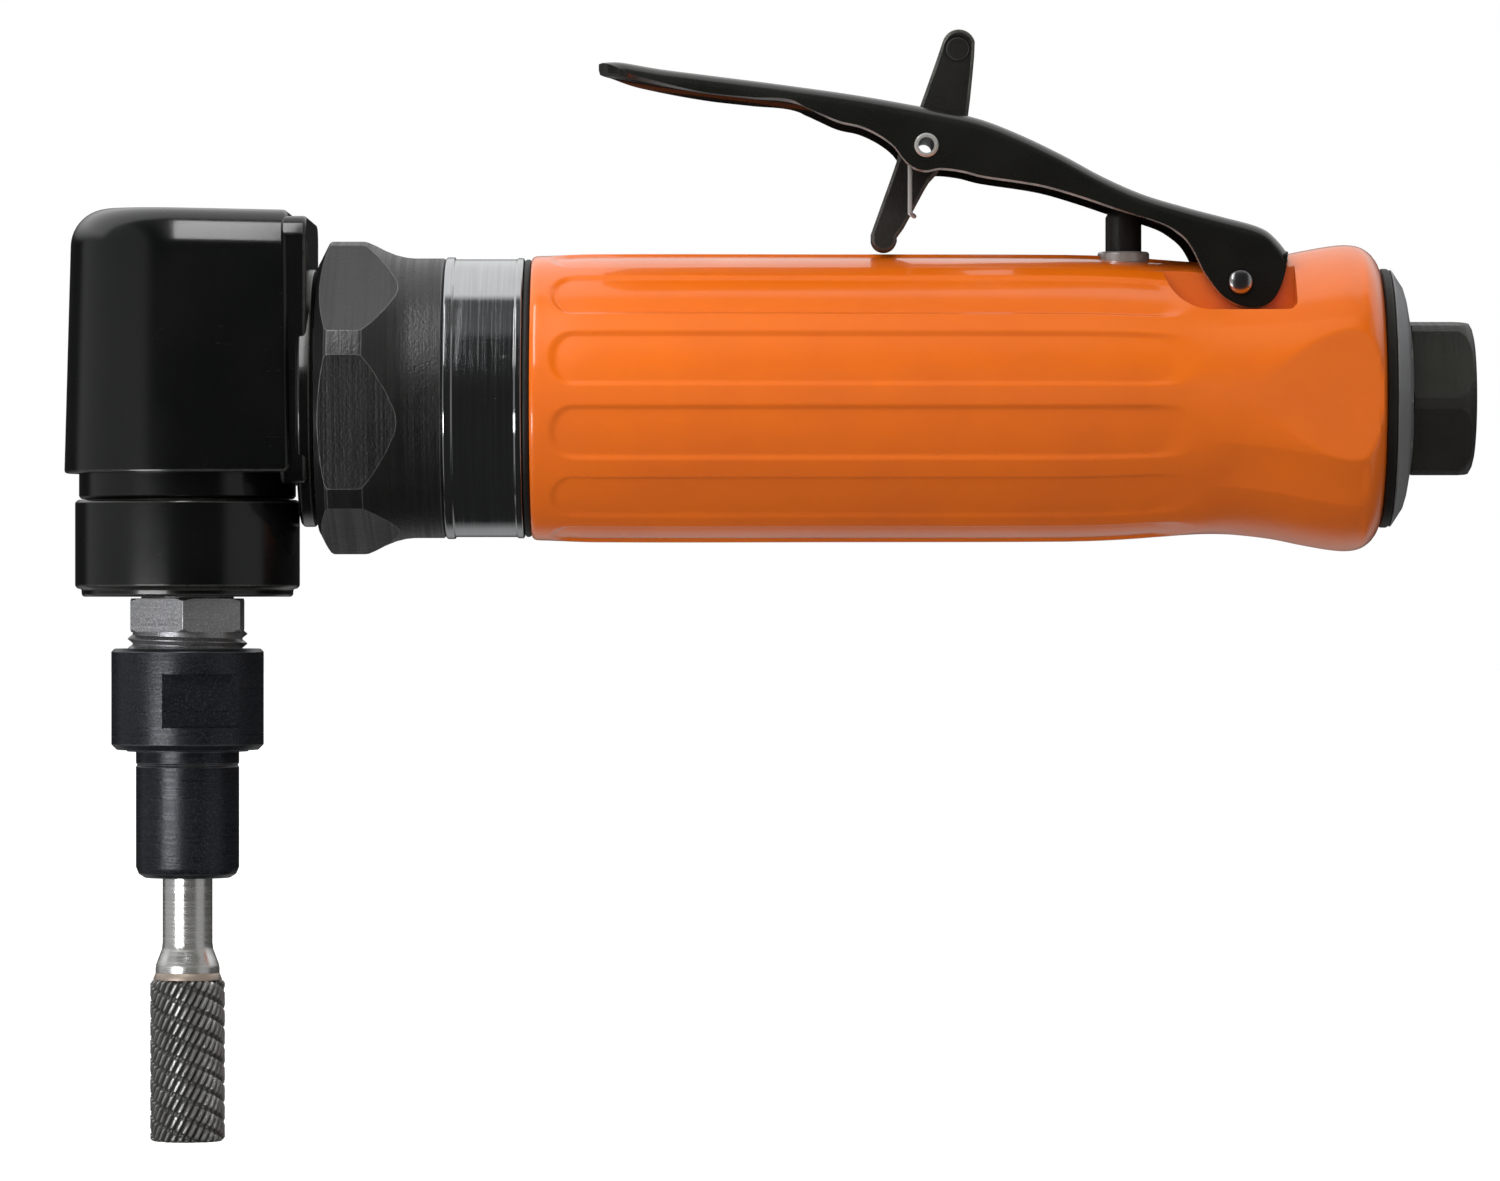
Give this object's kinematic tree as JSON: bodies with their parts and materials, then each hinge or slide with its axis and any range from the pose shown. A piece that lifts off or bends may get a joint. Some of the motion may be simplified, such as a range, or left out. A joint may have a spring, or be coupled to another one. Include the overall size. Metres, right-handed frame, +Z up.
{
  "type": "die grinder",
  "caption": "Right-angle pneumatic die grinder with a fluted handle, sprung throttle lever with a lock-off latch, bevel-gear head, collet and a cylindrical carbide bur.",
  "frame": {"origin": "centre of the air inlet's mouth at the rear of the handle", "axes": "+X out of the inlet along the handle's axis, +Z up on the lever's side, the cutter pointing down; Y square to the plane of the handle and spindle"},
  "size_m": [0.1794, 0.0388, 0.1416],
  "materials": {
    "housing_orange": "gloss orange enamel over die-cast alloy",
    "head_black": "gloss black enamel over cast metal",
    "nut_phosphate": "matt dark grey phosphate over turned steel",
    "ring_steel": "polished steel",
    "seal_rubber": "matt black rubber",
    "cover_grey": "satin gunmetal",
    "felt": "sintered felt",
    "hex_black": "black oxide steel",
    "brass": "machined",
    "cast_iron": "ground",
    "ground_steel": "ground",
    "spindle_steel": "turned and milled",
    "vane_composite": "phenolic laminate",
    "collet_black": "satin blue-black oxide",
    "carbide": "ground tungsten carbide",
    "lever_black": "gloss black enamel over pressed sheet",
    "latch_black": "satin black",
    "stem_black": "satin black",
    "spring_steel": "drawn spring wire"
  },
  "bodies": {
    "body": {"motor_housing": "housing_orange", "head_housing": "head_black", "coupling_nut": "nut_phosphate", "clamp_ring": "ring_steel", "retaining_ring": "spring_steel", "ring_seal": "seal_rubber", "spindle_cap": "head_black", "rear_seal": "seal_rubber", "exhaust_cover": "cover_grey", "muffler_ring": "felt", "inlet_bushing": "hex_black", "inlet_screen": "ring_steel", "valve_bushing": "ring_steel", "stem_seal": "seal_rubber", "valve_seat": "brass", "lever_pin": "ring_steel", "motor_cylinder": "cast_iron", "front_end_plate": "cast_iron", "rear_end_plate": "cast_iron", "dowel_pins": "ring_steel", "valve_spring": "spring_steel", "front_bearing_outer": "ground_steel", "front_bearing_balls": "ring_steel", "rear_bearing_outer": "ground_steel", "rear_bearing_balls": "ring_steel", "pinion_bearing_outer": "ground_steel", "pinion_bearing_balls": "ring_steel", "upper_bearing_outer": "ground_steel", "upper_bearing_balls": "ring_steel", "lower_bearing_outer": "ground_steel", "lower_bearing_balls": "ring_steel"},
    "rotor": {"rotor": "ground_steel", "vanes": "vane_composite", "bevel_pinion": "ground_steel", "front_bearing_inner": "ground_steel", "rear_bearing_inner": "ground_steel", "pinion_bearing_inner": "ground_steel"},
    "spindle": {"spindle": "spindle_steel", "bevel_gear": "ground_steel", "gear_key": "ring_steel", "collet": "ground_steel", "collet_nut": "collet_black", "bur_shank": "ground_steel", "bur_head": "carbide", "upper_bearing_inner": "ground_steel", "lower_bearing_inner": "ground_steel"},
    "lever": {"lever": "lever_black", "latch_pin": "ring_steel"},
    "latch": {"latch": "latch_black", "latch_spring": "spring_steel"},
    "stem": {"valve_stem": "stem_black", "valve_ball": "ring_steel"}
  },
  "joints": [
    {"name": "rotor_spin", "type": "hinge", "parent": "body", "child": "rotor", "pos_m": [-0.0937, 0, 0], "axis": [1, 0, 0], "continuous": true},
    {"name": "spindle_spin", "type": "hinge", "parent": "body", "child": "spindle", "pos_m": [-0.1637, 0, 0], "axis": [0, 0, 1], "continuous": true},
    {"name": "lever_press", "type": "hinge", "parent": "body", "child": "lever", "pos_m": [-0.03, 0, 0.0145], "axis": [0, -1, 0], "range_deg": [0, 6], "stiffness_Nm_per_rad": 0.5, "springref_deg": -11.46},
    {"name": "latch_swing", "type": "hinge", "parent": "lever", "child": "latch", "pos_m": [-0.0697, 0, 0.0318], "axis": [0, 1, 0], "range_deg": [0, 42.5]},
    {"name": "stem_slide", "type": "slide", "parent": "body", "child": "stem", "axis": [0, 0, -1], "range_m": [0, 0.0019], "deforming": ["valve_spring"]}
  ],
  "couplings": [
    {"joint": "spindle_spin", "follows": "rotor_spin", "ratio": -0.71429},
    {"joint": "latch_swing", "follows": "lever_press", "ratio": 7},
    {"joint": "stem_slide", "follows": "lever_press", "m_per_rad": 0.0172}
  ]
}
